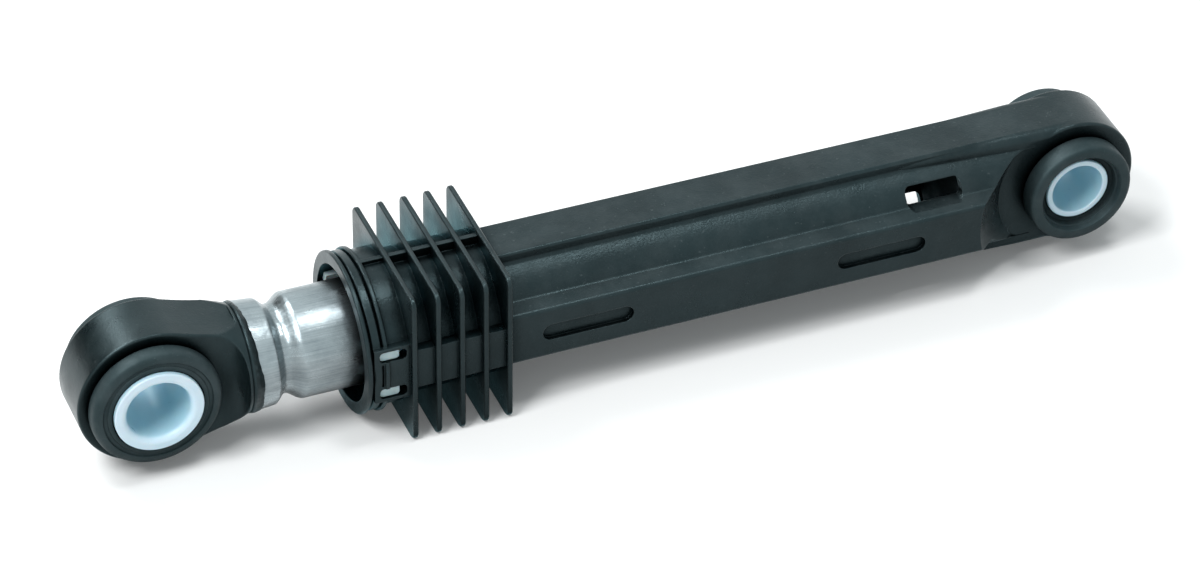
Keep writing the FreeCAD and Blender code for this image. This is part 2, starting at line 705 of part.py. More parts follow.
save("housing_shell", housing_shell())
save("lining_holder", lining_holder())
save("friction_lining_outer", friction_lining(False))
save("friction_lining_inner", friction_lining(True))
save("rod_guide_bush", guide_bush())
save("end_buffer", end_buffer())
save("housing_eye_bush", housing_eye_bush())
save("housing_eye_sleeve", housing_eye_sleeve())
save("rod_tube", rod_tube())
save("rod_eye", rod_eye())
save("rod_eye_bush", rod_eye_bush())
save("rod_eye_sleeve", rod_eye_sleeve())
save("rod_end_plug", rod_end_plug())
save("rod_guide_ring", guide_ring())
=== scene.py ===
import logging
import math
from dataclasses import dataclass
from enum import Enum
from typing import Any, Optional, Sequence

import bmesh
import bpy
from mathutils import Matrix, Vector, noise


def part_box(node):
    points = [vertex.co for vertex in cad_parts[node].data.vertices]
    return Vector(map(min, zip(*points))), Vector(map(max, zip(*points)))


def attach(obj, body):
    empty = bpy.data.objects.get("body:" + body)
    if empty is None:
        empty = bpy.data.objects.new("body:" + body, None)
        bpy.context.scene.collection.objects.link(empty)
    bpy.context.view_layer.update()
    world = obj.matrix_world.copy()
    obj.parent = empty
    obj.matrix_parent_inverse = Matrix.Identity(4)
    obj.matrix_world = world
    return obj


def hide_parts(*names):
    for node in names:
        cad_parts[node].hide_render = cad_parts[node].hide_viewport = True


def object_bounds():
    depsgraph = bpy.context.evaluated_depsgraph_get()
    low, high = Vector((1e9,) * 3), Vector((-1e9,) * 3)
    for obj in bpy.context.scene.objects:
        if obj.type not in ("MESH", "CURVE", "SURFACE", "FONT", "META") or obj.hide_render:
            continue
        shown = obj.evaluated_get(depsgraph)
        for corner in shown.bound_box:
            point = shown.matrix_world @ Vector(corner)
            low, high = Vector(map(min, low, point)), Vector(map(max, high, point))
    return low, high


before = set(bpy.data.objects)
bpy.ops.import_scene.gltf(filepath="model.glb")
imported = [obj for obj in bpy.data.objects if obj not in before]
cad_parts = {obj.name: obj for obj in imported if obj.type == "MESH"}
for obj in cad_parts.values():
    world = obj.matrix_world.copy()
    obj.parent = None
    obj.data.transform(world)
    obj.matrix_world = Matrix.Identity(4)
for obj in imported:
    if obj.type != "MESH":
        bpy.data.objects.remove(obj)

CAD_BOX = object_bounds()
MM = 0.001
LOG = logging.getLogger("shock_absorber")
Colour = tuple[float, float, float]
Place = tuple[float, float, float]
Point = tuple[float, float]
WHITE: Colour = (1.0, 1.0, 1.0)
# Nearly all values of a noise lie between these two.
CLOUD = (0.3, 0.7)


# Node trees


class Socket(Enum):
    """Kinds of socket that an effect has."""

    FLOAT = "NodeSocketFloat"
    VECTOR = "NodeSocketVector"


class Tree:
    """A node tree that is filled one node at a time."""

    def __init__(self, tree: bpy.types.NodeTree) -> None:
        """Takes over the shader or group tree that it fills."""
        self.tree = tree

    def node(self, kind: str, inputs: Optional[dict[Any, Any]] = None, **settings: Any) -> bpy.types.Node:
        """Adds a node, then sets or links its inputs.

        Args:
            kind: Blender's name of the node type.
            inputs: Sockets by name or number; another node's socket is linked, anything else is set.
            settings: Attributes of the node itself.

        Returns:
            The new node.
        """
        made = self.tree.nodes.new(kind)
        for name, value in settings.items():
            setattr(made, name, value)
        self.feed(made, inputs or {})
        return made

    def feed(self, node: bpy.types.Node, inputs: dict[Any, Any]) -> None:
        """Links or sets a node's inputs.

        Args:
            node: The node.
            inputs: Sockets by name or number; another node's socket is linked, anything else is set.
        """
        for socket, value in inputs.items():
            if isinstance(value, bpy.types.NodeSocket):
                self.tree.links.new(value, node.inputs[socket])
            else:
                node.inputs[socket].default_value = value

    def calc(self, operation: str, *values: Any, clamp: bool = False) -> bpy.types.NodeSocket:
        """Adds a math node for up to three sockets or numbers, and gives the result's socket."""
        made = self.node("ShaderNodeMath", dict(enumerate(values)), operation=operation, use_clamp=clamp)
        return made.outputs[0]

    def weigh(self, first: tuple[Any, float], *others: tuple[Any, float]) -> bpy.types.NodeSocket:
        """Adds up values, each times its weight.

        Args:
            first: A socket and its weight.
            others: More of them.

        Returns:
            The sum's socket.
        """
        total = self.calc("MULTIPLY", *first)
        for other in others:
            total = self.calc("ADD", total, self.calc("MULTIPLY", *other))
        return total

    def spread(self, value: Any, low: Any, high: Any, out_low: float = 0.0,
               out_high: float = 1.0) -> bpy.types.NodeSocket:
        """Maps the range from low to high to the one from out_low to out_high, clamped at both ends."""
        inputs = {0: value, 1: low, 2: high, 3: out_low, 4: out_high}
        return self.node("ShaderNodeMapRange", inputs).outputs[0]

    def blend(self, share: Any, first: Any, second: Any) -> bpy.types.NodeSocket:
        """Mixes two colours or sockets, where share says how much of the second one shows."""
        inputs = {0: share, 6: rgba(first), 7: rgba(second)}
        return self.node("ShaderNodeMix", inputs, data_type="RGBA").outputs[2]

    def place(self) -> bpy.types.NodeSocket:
        """Gives the socket of the point's place on its object."""
        return self.node("ShaderNodeTexCoord").outputs["Object"]

    def noise(self, vector: Any, scale: Any, detail: float, roughness: float = 0.5) -> bpy.types.NodeSocket:
        """Adds a noise of so many waves in a metre, with finer octaves, and gives its value's socket."""
        inputs = {"Vector": vector, "Scale": scale, "Detail": detail, "Roughness": roughness}
        return self.node("ShaderNodeTexNoise", inputs).outputs[0]

    def openness(self, reach: Any, samples: int) -> bpy.types.NodeSocket:
        """Feels how open the space within reach of a point is, from 0, all closed, to 1."""
        return self.node("ShaderNodeAmbientOcclusion", {"Distance": reach}, samples=samples).outputs["AO"]

    def bump(self, height: Any, depth: float, normal: Optional[bpy.types.NodeSocket] = None,
             strength: float = 1.0) -> bpy.types.NodeSocket:
        """Adds a bump node.

        Args:
            height: Socket of the height.
            depth: The height's depth in metres.
            normal: Socket of the normal that it starts from, or None for the surface's own.
            strength: Share of the bump that shows.

        Returns:
            The normal's socket.
        """
        inputs = {"Height": height, "Distance": depth, "Strength": strength}
        if normal is not None:
            inputs["Normal"] = normal
        return self.node("ShaderNodeBump", inputs).outputs[0]


def rgba(colour: Any) -> Any:
    """Gives a three-part colour its alpha, and leaves a socket as it is."""
    return colour if isinstance(colour, bpy.types.NodeSocket) else (*colour, 1.0)


def empty_tree(owner: Any) -> Tree:
    """Switches on the nodes of a material or world, and clears them.

    Args:
        owner: The material or world.

    Returns:
        Its empty tree.
    """
    owner.use_nodes = True
    owner.node_tree.nodes.clear()
    return Tree(owner.node_tree)


class Effect:
    """A surface effect that several materials share, kept as one node group."""

    name = "Effect"
    inputs: dict[str, float] = {}
    outputs: dict[str, Socket] = {}

    def group(self) -> bpy.types.NodeTree:
        """Builds the group, or finds the one already built.

        Returns:
            The node group.
        """
        found = bpy.data.node_groups.get(self.name)
        if found:
            return found
        made = bpy.data.node_groups.new(self.name, "ShaderNodeTree")
        for name, value in self.inputs.items():
            socket = made.interface.new_socket(name=name, in_out="INPUT", socket_type=Socket.FLOAT.value)
            socket.default_value = value
        for name, kind in self.outputs.items():
            made.interface.new_socket(name=name, in_out="OUTPUT", socket_type=kind.value)
        tree = Tree(made)
        given = tree.node("NodeGroupInput").outputs
        results = self.fill(tree, given)
        tree.node("NodeGroupOutput", results)
        return made

    def fill(self, tree: Tree, given: Any) -> dict[str, bpy.types.NodeSocket]:
        """Adds the effect's own nodes after the given inputs, and gives the socket for each output."""
        raise NotImplementedError

    def put(self, tree: Tree, **values: float) -> Any:
        """Puts the group into a material.

        Args:
            tree: The material's tree.
            values: Inputs, with _ for a space in the name.

        Returns:
            The placed node's outputs.
        """
        made = tree.node("ShaderNodeGroup", node_tree=self.group())
        tree.feed(made, {name.replace("_", " ").title(): value for name, value in values.items()})
        return made.outputs


class MouldGrain(Effect):
    """Fine grain of a spark-eroded mould, with cloudy changes of tone and gloss.

    Attributes:
        coarse_ratio: Scale of the coarse grain, as a share of the fine grain's.
        gloss_ratio: Scale of the gloss's clouds, as a multiple of the tone's.
    """

    name = "Mould grain"
    inputs = {"Grain Scale": 2200.0, "Cloud Scale": 60.0}
    outputs = {"Height": Socket.FLOAT, "Tone": Socket.FLOAT, "Gloss": Socket.FLOAT}
    coarse_ratio = 0.27
    gloss_ratio = 3.1

    def fill(self, tree: Tree, given: Any) -> dict[str, bpy.types.NodeSocket]:
        """Adds two octaves of grain and two clouds.

        Args:
            tree: The group's tree.
            given: Sockets of the group's inputs.

        Returns:
            The socket for each output.
        """
        place = tree.place()
        fine = tree.noise(place, given["Grain Scale"], detail=3.0, roughness=0.6)
        coarse_scale = tree.calc("MULTIPLY", given["Grain Scale"], self.coarse_ratio)
        coarse = tree.noise(place, coarse_scale, detail=2.0)
        height = tree.weigh((fine, 0.65), (coarse, 0.35))
        tone = tree.noise(place, given["Cloud Scale"], detail=4.0, roughness=0.6)
        gloss_scale = tree.calc("MULTIPLY", given["Cloud Scale"], self.gloss_ratio)
        gloss = tree.noise(place, gloss_scale, detail=3.0, roughness=0.65)
        return {"Height": height, "Tone": tone, "Gloss": gloss}


class EdgeWear(Effect):
    """Edges that are slightly rounded, and a mask of where they stand out, for wear and painted edge
    highlight.

    Attributes:
        bevel_samples: Rays that round an edge.
        corner_samples: Rays that feel for an inner corner.
    """

    name = "Edge wear"
    inputs = {"Radius": 0.0003, "Gain": 3.0, "Break Scale": 900.0}
    outputs = {"Mask": Socket.FLOAT, "Normal": Socket.VECTOR}
    bevel_samples = 6
    corner_samples = 2

    def fill(self, tree: Tree, given: Any) -> dict[str, bpy.types.NodeSocket]:
        """Compares the rounded normal with the plain one, and breaks the result up, not in inner corners.

        Args:
            tree: The group's tree.
            given: Sockets of the group's inputs.

        Returns:
            The socket for each output.
        """
        bevel = tree.node("ShaderNodeBevel", {"Radius": given["Radius"]}, samples=self.bevel_samples)
        rounded = bevel.outputs[0]
        plain = tree.node("ShaderNodeNewGeometry").outputs["Normal"]
        likeness = tree.node("ShaderNodeVectorMath", {0: rounded, 1: plain}, operation="DOT_PRODUCT")
        change = tree.calc("SUBTRACT", 1.0, likeness.outputs["Value"])
        turned = tree.calc("MULTIPLY", change, given["Gain"], clamp=True)
        rough = tree.noise(tree.place(), given["Break Scale"], detail=4.0, roughness=0.7)
        patches = tree.spread(rough, low=0.38, high=0.62, out_low=0.25)
        proud = tree.spread(tree.openness(given["Radius"], self.corner_samples), low=0.9, high=0.98)
        # Edges that stand out, where wear and painted edge highlight go.
        rubbed_and_highlit = tree.calc("MULTIPLY", tree.calc("MULTIPLY", turned, patches), proud)
        return {"Mask": rubbed_and_highlit, "Normal": rounded}


class Dust(Effect):
    """Fine dust and lint that lies on faces that look up.

    Attributes:
        film_scale: Scale of the film's clouds.
    """

    name = "Dust"
    inputs = {"Amount": 0.3, "Speck Scale": 1500.0}
    outputs = {"Mask": Socket.FLOAT}
    film_scale = 140.0

    def fill(self, tree: Tree, given: Any) -> dict[str, bpy.types.NodeSocket]:
        """Adds specks over a thin film, both more on upper faces.

        Args:
            tree: The group's tree.
            given: Sockets of the group's inputs.

        Returns:
            The socket for each output.
        """
        place = tree.place()
        specks = tree.spread(tree.noise(place, given["Speck Scale"], detail=2.0), low=0.68, high=0.74)
        cloud = tree.noise(place, self.film_scale, detail=5.0, roughness=0.7)
        film = tree.spread(cloud, low=0.42, high=0.75, out_high=0.5)
        normal = tree.node("ShaderNodeNewGeometry").outputs["Normal"]
        upward = tree.node("ShaderNodeSeparateXYZ", {0: normal}).outputs["Z"]
        lies = tree.spread(upward, low=-0.3, high=0.9, out_low=0.15)
        both = tree.calc("MULTIPLY", tree.calc("MAXIMUM", specks, film), lies)
        return {"Mask": tree.calc("MULTIPLY", both, given["Amount"], clamp=True)}


class HollowShade(Effect):
    """Where little light reaches: gaps, corners and bores.

    Attributes:
        near_samples: Rays that feel for a near wall.
        deep_samples: Rays that feel further off.
        near_closed: Openness near by at which a point is wholly in a hollow.
        deep_closed: The same, further off.
    """

    name = "Hollow shade"
    inputs = {"Reach": 0.0025, "Depth": 0.022, "Open": 0.85, "Part Open": 0.46}
    outputs = {"Mask": Socket.FLOAT}
    near_samples = 5
    deep_samples = 3
    near_closed = 0.3
    deep_closed = 0.16

    def fill(self, tree: Tree, given: Any) -> dict[str, bpy.types.NodeSocket]:
        """Feels how closed in a point is, near by and further off, and gives 1 in a hollow.

        Args:
            tree: The group's tree.
            given: Sockets of the group's inputs.

        Returns:
            The socket for each output.
        """
        near = tree.openness(given["Reach"], self.near_samples)
        deep = tree.openness(given["Depth"], self.deep_samples)
        in_corner = tree.spread(near, self.near_closed, given["Open"], out_low=1.0, out_high=0.0)
        in_depth = tree.spread(deep, self.deep_closed, given["Part Open"], out_low=1.0, out_high=0.0)
        return {"Mask": tree.calc("MAXIMUM", in_corner, in_depth)}


class DrawnStreaks(Effect):
    """Streaks of a drawn and rolled tube that lies along X.

    Attributes:
        lines_round: Scale of the long lines, in a radian around the tube.
        rolled_along: Scale of the rolled lines, in a metre along it.
        patch_scale: Scale of the dull patches.
        wave_scale: Scale of the shallow waves.
    """

    name = "Drawn streaks"
    inputs = {"Along Scale": 60.0, "Round Scale": 5.0}
    outputs = {"Height": Socket.FLOAT, "Tone": Socket.FLOAT}
    lines_round = 26.0
    rolled_along = 2400.0
    patch_scale = 190.0
    wave_scale = 240.0

    def fill(self, tree: Tree, given: Any) -> dict[str, bpy.types.NodeSocket]:
        """Adds long fine streaks, short ones around the tube, dull patches and shallow waves.

        Args:
            tree: The group's tree.
            given: Sockets of the group's inputs.

        Returns:
            The socket for each output.
        """
        place = tree.place()
        split = tree.node("ShaderNodeSeparateXYZ", {0: place}).outputs
        turn = tree.calc("ARCTAN2", split["Y"], split["Z"])
        drawn = self.unrolled(tree, split["X"], turn, given["Along Scale"], self.lines_round)
        ring = self.unrolled(tree, split["X"], turn, self.rolled_along, given["Round Scale"])
        lines = tree.noise(drawn, 1.0, detail=4.0, roughness=0.65)
        rolled = tree.noise(ring, 1.0, detail=3.0, roughness=0.6)
        patches = tree.noise(place, self.patch_scale, detail=4.0, roughness=0.6)
        waves = tree.noise(place, self.wave_scale, detail=2.0)
        height = tree.weigh((lines, 0.18), (rolled, 0.08), (waves, 0.8))
        tone = tree.weigh((patches, 0.5), (lines, 0.5))
        return {"Height": height, "Tone": tone}

    def unrolled(self, tree: Tree, along: Any, turn: Any, along_scale: Any, round_scale: Any) -> Any:
        """Gives coordinates on the unrolled tube, with waves in a metre along it and a radian around it."""
        inputs = {0: tree.calc("MULTIPLY", along, along_scale), 1: tree.calc("MULTIPLY", turn, round_scale)}
        return tree.node("ShaderNodeCombineXYZ", inputs).outputs[0]


MOULD_GRAIN = MouldGrain()
EDGE_WEAR = EdgeWear()
DUST = Dust()
HOLLOW_SHADE = HollowShade()
DRAWN_STREAKS = DrawnStreaks()


# Finishes


@dataclass(frozen=True)
class Finish:
    """What every finish has.

    Attributes:
        slot: The record's slot that it stands for.
        colour: Its main colour.
        roughness: Its middle roughness.
    """

    slot: str
    colour: Colour
    roughness: float

    def material(self) -> bpy.types.Material:
        """Builds the material, or finds the one already built.

        Returns:
            The material.
        """
        name = "finish_" + self.slot
        found = bpy.data.materials.get(name)
        if found:
            return found
        made = bpy.data.materials.new(name)
        tree = empty_tree(made)
        shader = tree.node("ShaderNodeBsdfPrincipled")
        tree.feed(shader, self.shade(tree))
        tree.node("ShaderNodeOutputMaterial", {"Surface": shader.outputs[0]})
        return made

    def shade(self, tree: Tree) -> dict[str, Any]:
        """Adds this finish's effects, and gives each input of the Principled BSDF its value or socket."""
        raise NotImplementedError

    def gloss(self, tree: Tree, cloud: Any, at_low: float, at_high: float) -> bpy.types.NodeSocket:
        """Changes the roughness by at_low where a cloud is low, and by at_high where it is high."""
        return tree.spread(cloud, *CLOUD, self.roughness + at_low, self.roughness + at_high)


@dataclass(frozen=True)
class BlackMoulding(Finish):
    """Satin black moulding: grained, a little cloudy, slightly dusty, with wear and painted highlight on its
    edges and painted shade in hollows.

    Attributes:
        worn_and_highlight: Colour of edges that stand out, partly wear and partly painted edge highlight.
        dust: Colour of the dust.
        painted_shade: Near-black colour painted as shade in hollows.
        tint: Colour that its shine takes on.
        shades: Its darkest and lightest clouds, as shares of the colour.
        grain_depth: Depth of the grain in metres.
        edge_radius: Rounding of the edges in metres.
        wear_gain: How quickly a bend in the surface counts as an edge.
        wear_and_highlight_share: Share of that edge colour that shows.
        hollow_reach: How far it feels for a near wall, in metres.
        open_near: Openness near by at which a point is in no hollow.
        open_deep: The same, further off.
        dust_amount: Share of the dust that shows.
        dust_dulls: Roughness that full dust adds.
        shine: Level of the shine.
    """

    # Lighter edge colour: partly wear, partly painted edge highlight.
    worn_and_highlight: Colour = (0.10, 0.125, 0.13)
    dust: Colour = (0.28, 0.33, 0.34)
    # Near-black colour painted as shade in hollows.
    painted_shade: Colour = (0.0005, 0.002, 0.0025)
    tint: Colour = (0.64, 0.93, 1.0)
    shades: tuple[float, float] = (0.5, 1.5)
    grain_depth: float = 0.06 * MM
    edge_radius: float = 0.28 * MM
    wear_gain: float = 1.6
    wear_and_highlight_share: float = 0.45
    hollow_reach: float = 3.0 * MM
    open_near: float = 0.93
    open_deep: float = 0.62
    dust_amount: float = 0.1
    dust_dulls: float = 0.4
    shine: float = 0.44

    def shade(self, tree: Tree) -> dict[str, Any]:
        """Adds grain, edges lightened as wear and painted highlight, and dust, and paints shade in hollows
        with a near-black colour and black metal, which hardly shines.

        Args:
            tree: The material's tree.

        Returns:
            The value or socket for each input of the Principled BSDF.
        """
        grain = MOULD_GRAIN.put(tree)
        wear = EDGE_WEAR.put(tree, radius=self.edge_radius, gain=self.wear_gain)
        dust = DUST.put(tree, amount=self.dust_amount)["Mask"]
        hollow = HOLLOW_SHADE.put(
            tree, reach=self.hollow_reach, open=self.open_near, part_open=self.open_deep)["Mask"]
        dark, light = (tuple(part * share for part in self.colour) for share in self.shades)
        cloudy = tree.blend(tree.spread(grain["Tone"], *CLOUD), dark, light)
        # Painted shade: hollows turn near black.
        shaded = tree.blend(hollow, cloudy, self.painted_shade)
        # Edges that stand out lighten: partly wear, partly painted highlight.
        rubbed_and_highlit = tree.blend(tree.calc("MULTIPLY", wear["Mask"], self.wear_and_highlight_share), shaded, self.worn_and_highlight)
        gloss = self.gloss(tree, grain["Gloss"], at_low=-0.06, at_high=0.07)
        return {
            "Base Color": tree.blend(dust, rubbed_and_highlit, self.dust),
            "Roughness": tree.calc("ADD", gloss, tree.calc("MULTIPLY", dust, self.dust_dulls)),
            "Normal": tree.bump(grain["Height"], self.grain_depth, wear["Normal"]),
            # Black metal in hollows dims their reflections, as painted shade.
            "Metallic": hollow,
            "Specular IOR Level": self.shine,
            "Specular Tint": rgba(self.tint),
        }


@dataclass(frozen=True)
class BushRubber(Finish):
    """Dull black rubber with a faint bloom, and painted shade in hollows.

    Attributes:
        bloom: Colour of the bloom.
        dust: Colour of the dust.
        painted_shade: Near-black colour painted as shade in hollows.
        tint: Colour that its shine takes on.
        grain_depth: Depth of the grain in metres.
        hollow_reach: How far it feels for a near wall, in metres.
        open_deep: Openness further off at which a point is in no hollow.
        hollow_dulls: Roughness that a full hollow adds.
        dust_amount: Share of the dust that shows.
        shine: Level of the shine.
    """

    bloom: Colour = (0.035, 0.046, 0.050)
    dust: Colour = (0.14, 0.19, 0.20)
    # Near-black colour painted as shade in hollows.
    painted_shade: Colour = (0.0005, 0.0015, 0.002)
    tint: Colour = (0.70, 0.94, 1.0)
    grain_depth: float = 0.016 * MM
    hollow_reach: float = 3.0 * MM
    open_deep: float = 0.55
    hollow_dulls: float = 0.4
    dust_amount: float = 0.22
    shine: float = 0.4

    def shade(self, tree: Tree) -> dict[str, Any]:
        """Adds a cloudy bloom, dust and a soft grain, and paints shade in hollows with a near-black colour
        and black metal, which hardly shines.

        Args:
            tree: The material's tree.

        Returns:
            The value or socket for each input of the Principled BSDF.
        """
        grain = MOULD_GRAIN.put(tree, grain_scale=3400.0, cloud_scale=110.0)
        dust = DUST.put(tree, amount=self.dust_amount, speck_scale=2100.0)["Mask"]
        hollow = HOLLOW_SHADE.put(tree, reach=self.hollow_reach, part_open=self.open_deep)["Mask"]
        share = tree.spread(grain["Tone"], low=0.42, high=0.72, out_high=0.6)
        dusty = tree.blend(dust, tree.blend(share, self.colour, self.bloom), self.dust)
        gloss = self.gloss(tree, grain["Gloss"], at_low=-0.08, at_high=0.08)
        dulled = tree.calc("ADD", gloss, tree.calc("MULTIPLY", hollow, self.hollow_dulls), clamp=True)
        return {
            # Painted shade: hollows turn near black.
            "Base Color": tree.blend(hollow, dusty, self.painted_shade),
            "Roughness": dulled,
            "Normal": tree.bump(grain["Height"], self.grain_depth),
            # Black metal in hollows dims their reflections, as painted shade.
            "Metallic": hollow,
            "Specular IOR Level": self.shine,
            "Specular Tint": rgba(self.tint),
        }


@dataclass(frozen=True)
class SleevePlastic(Finish):
    """Smooth bluish-white bearing plastic, slightly clear, with painted shade in its bore.

    Attributes:
        cloud_tone: Colour of its darker clouds.
        painted_bore_shade: Colour painted as shade inside the bore.
        grain_depth: Depth of the grain in metres.
        hollow_reach: How far it feels for a near wall, in metres.
        clearness: Share of the light that goes into it.
        light_depth: How deep that light goes, in metres.
    """

    cloud_tone: Colour = (0.50, 0.65, 0.75)
    # Darker blue painted as shade inside the bore.
    painted_bore_shade: Colour = (0.36, 0.60, 0.70)
    grain_depth: float = 0.005 * MM
    hollow_reach: float = 20.0 * MM
    clearness: float = 0.12
    light_depth: float = 2.0 * MM

    def shade(self, tree: Tree) -> dict[str, Any]:
        """Adds a soft change of tone, a very shallow grain and painted shade in the bore.

        Args:
            tree: The material's tree.

        Returns:
            The value or socket for each input of the Principled BSDF.
        """
        grain = MOULD_GRAIN.put(tree, grain_scale=1500.0, cloud_scale=210.0)
        share = tree.spread(grain["Tone"], low=0.35, high=0.75, out_high=0.5)
        tone = tree.blend(share, self.colour, self.cloud_tone)
        hollow = HOLLOW_SHADE.put(tree, reach=self.hollow_reach)["Mask"]
        return {
            # Painted shade: the bore turns darker.
            "Base Color": tree.blend(hollow, tone, self.painted_bore_shade),
            "Roughness": self.gloss(tree, grain["Gloss"], at_low=-0.05, at_high=0.08),
            "Normal": tree.bump(grain["Height"], self.grain_depth),
            "Subsurface Weight": self.clearness,
            "Subsurface Scale": self.light_depth,
        }


@dataclass(frozen=True)
class DrawnMetal(Finish):
    """Drawn tube metal: bright, streaked along its length, with dull patches, and painted shade where it goes
    into the mouth.

    Attributes:
        dull: Colour of the dull patches.
        painted_shade: Dark colour painted as shade in hollows, where the tube goes into the mouth.
        streak_depth: Depth of the streaks in metres.
        edge_radius: Rounding of the edges in metres.
        hollow_reach: How far it feels for a near wall, in metres.
        open_near: Openness near by at which a point is in no hollow.
    """

    dull: Colour = (0.24, 0.285, 0.305)
    # Dark colour painted as shade near the mouth.
    painted_shade: Colour = (0.05, 0.06, 0.065)
    streak_depth: float = 0.2 * MM
    edge_radius: float = 0.2 * MM
    hollow_reach: float = 10.0 * MM
    open_near: float = 0.96

    def shade(self, tree: Tree) -> dict[str, Any]:
        """Adds streaks, dull patches, rounded edges and painted shade where the tube goes into the mouth.

        Args:
            tree: The material's tree.

        Returns:
            The value or socket for each input of the Principled BSDF.
        """
        streaks = DRAWN_STREAKS.put(tree)
        rounded = EDGE_WEAR.put(tree, radius=self.edge_radius)["Normal"]
        hollow = HOLLOW_SHADE.put(tree, reach=self.hollow_reach, open=self.open_near)["Mask"]
        bright = tree.spread(streaks["Tone"], low=0.36, high=0.64)
        return {
            # Painted shade: the tube darkens where it goes into the mouth.
            "Base Color": tree.blend(hollow, tree.blend(bright, self.dull, self.colour), self.painted_shade),
            "Roughness": self.gloss(tree, streaks["Tone"], at_low=0.12, at_high=-0.06),
            "Normal": tree.bump(streaks["Height"], self.streak_depth, rounded),
            "Metallic": 1.0,
        }


@dataclass(frozen=True)
class NaturalPlastic(Finish):
    """Unpainted pale plastic that lets a little light through.

    Attributes:
        greased: Colour of its greasy patches.
        grain_depth: Depth of the grain in metres.
        clearness: Share of the light that goes into it.
        light_depth: How deep that light goes, in metres.
    """

    greased: Colour = (0.30, 0.39, 0.40)
    grain_depth: float = 0.008 * MM
    clearness: float = 0.2
    light_depth: float = 3.0 * MM

    def shade(self, tree: Tree) -> dict[str, Any]:
        """Adds greasy patches.

        Args:
            tree: The material's tree.

        Returns:
            The value or socket for each input of the Principled BSDF.
        """
        grain = MOULD_GRAIN.put(tree, grain_scale=1800.0, cloud_scale=170.0)
        share = tree.spread(grain["Tone"], low=0.45, high=0.7, out_high=0.8)
        return {
            "Base Color": tree.blend(share, self.colour, self.greased),
            "Roughness": self.gloss(tree, grain["Gloss"], at_low=-0.15, at_high=0.1),
            "Normal": tree.bump(grain["Height"], self.grain_depth),
            "Subsurface Weight": self.clearness,
            "Subsurface Scale": self.light_depth,
        }


@dataclass(frozen=True)
class LiningFoam(Finish):
    """Open foam soaked in grease.

    Attributes:
        cell: Colour inside the cells.
        cell_scale: Cells in a metre.
        cell_depth: Depth of the cells in metres.
    """

    cell: Colour = (0.12, 0.1, 0.07)
    cell_scale: float = 1600.0
    cell_depth: float = 0.3 * MM

    def shade(self, tree: Tree) -> dict[str, Any]:
        """Adds open cells.

        Args:
            tree: The material's tree.

        Returns:
            The value or socket for each input of the Principled BSDF.
        """
        foam = tree.node("ShaderNodeTexVoronoi", {"Vector": tree.place(), "Scale": self.cell_scale})
        cells = foam.outputs["Distance"]
        grain = MOULD_GRAIN.put(tree, grain_scale=1200.0, cloud_scale=150.0)
        return {
            "Base Color": tree.blend(tree.spread(cells, low=0.2, high=0.6), self.cell, self.colour),
            "Roughness": self.gloss(tree, grain["Gloss"], at_low=-0.2, at_high=0.1),
            "Normal": tree.bump(cells, self.cell_depth, strength=0.8),
        }


HOUSING_FINISH = BlackMoulding("housing_plastic", (0.004, 0.0075, 0.0085), 0.31)
EYE_FINISH = BlackMoulding("eye_plastic", (0.004, 0.008, 0.009), 0.31, grain_depth=0.04 * MM,
                           edge_radius=0.5 * MM, dust_amount=0.06)
RUBBER_FINISH = BushRubber("bush_rubber", (0.009, 0.018, 0.020), 0.55)
SLEEVE_FINISH = SleevePlastic("sleeve_plastic", (0.60, 0.73, 0.81), 0.32)
ROD_FINISH = DrawnMetal("rod_metal", (0.44, 0.50, 0.52), 0.28)
NATURAL_FINISH = NaturalPlastic("natural_plastic", (0.44, 0.55, 0.57), 0.45)
FOAM_FINISH = LiningFoam("lining_foam", (0.35, 0.30, 0.22), 0.7)


# Meshes


@dataclass(frozen=True)
class Corner:
    """A corner of a turned outline, in metres.

    Attributes:
        radius: Distance from the axis.
        along: Place along the axis.
        round: Radius of its rounding.
    """

    radius: float
    along: float
    round: float = 0.0


def rounded_outline(corners: Sequence[Corner], steps: int = 5) -> list[Point]:
    """Replaces each corner that has a rounding with points on a smooth arc.

    Args:
        corners: The closed outline.
        steps: Spans on each arc.

    Returns:
        Radius and place along the axis of each point.
    """
    points: list[Point] = []
    for i, corner in enumerate(corners):
        here = Vector((corner.radius, corner.along))
        if corner.round <= 0:
            points.append(tuple(here))
            continue
        before, after = corners[i - 1], corners[(i + 1) % len(corners)]
        back = (Vector((before.radius, before.along)) - here).normalized()
        ahead = (Vector((after.radius, after.along)) - here).normalized()
        reach = corner.round / math.tan(back.angle(ahead) / 2)
        start, end = here + back * reach, here + ahead * reach
        for step in range(steps + 1):
            t = step / steps
            points.append(tuple(start * (1 - t) ** 2 + here * (2 * t * (1 - t)) + end * t ** 2))
    return points


def join_rings(mesh: bmesh.types.BMesh, rings: Sequence[Sequence[bmesh.types.BMVert]]) -> None:
    """Joins each ring of points to the next by faces, and the last to the first.

    Args:
        mesh: The geometry that holds the points.
        rings: Closed rings with the same number of points.
    """
    for i, ring in enumerate(rings):
        following = rings[(i + 1) % len(rings)]
        for j in range(len(ring)):
            k = (j + 1) % len(ring)
            mesh.faces.new((ring[j], ring[k], following[k], following[j]))


def finished_mesh(name: str, mesh: bmesh.types.BMesh) -> bpy.types.Object:
    """Turns working geometry into a smooth shaded object.

    Args:
        name: Name of the new object.
        mesh: The geometry, which is freed.

    Returns:
        The new object, linked to the scene.
    """
    bmesh.ops.recalc_face_normals(mesh, faces=mesh.faces)
    for face in mesh.faces:
        face.smooth = True
    data = bpy.data.meshes.new(name)
    mesh.to_mesh(data)
    mesh.free()
    made = bpy.data.objects.new(name, data)
    bpy.context.scene.collection.objects.link(made)
    return made


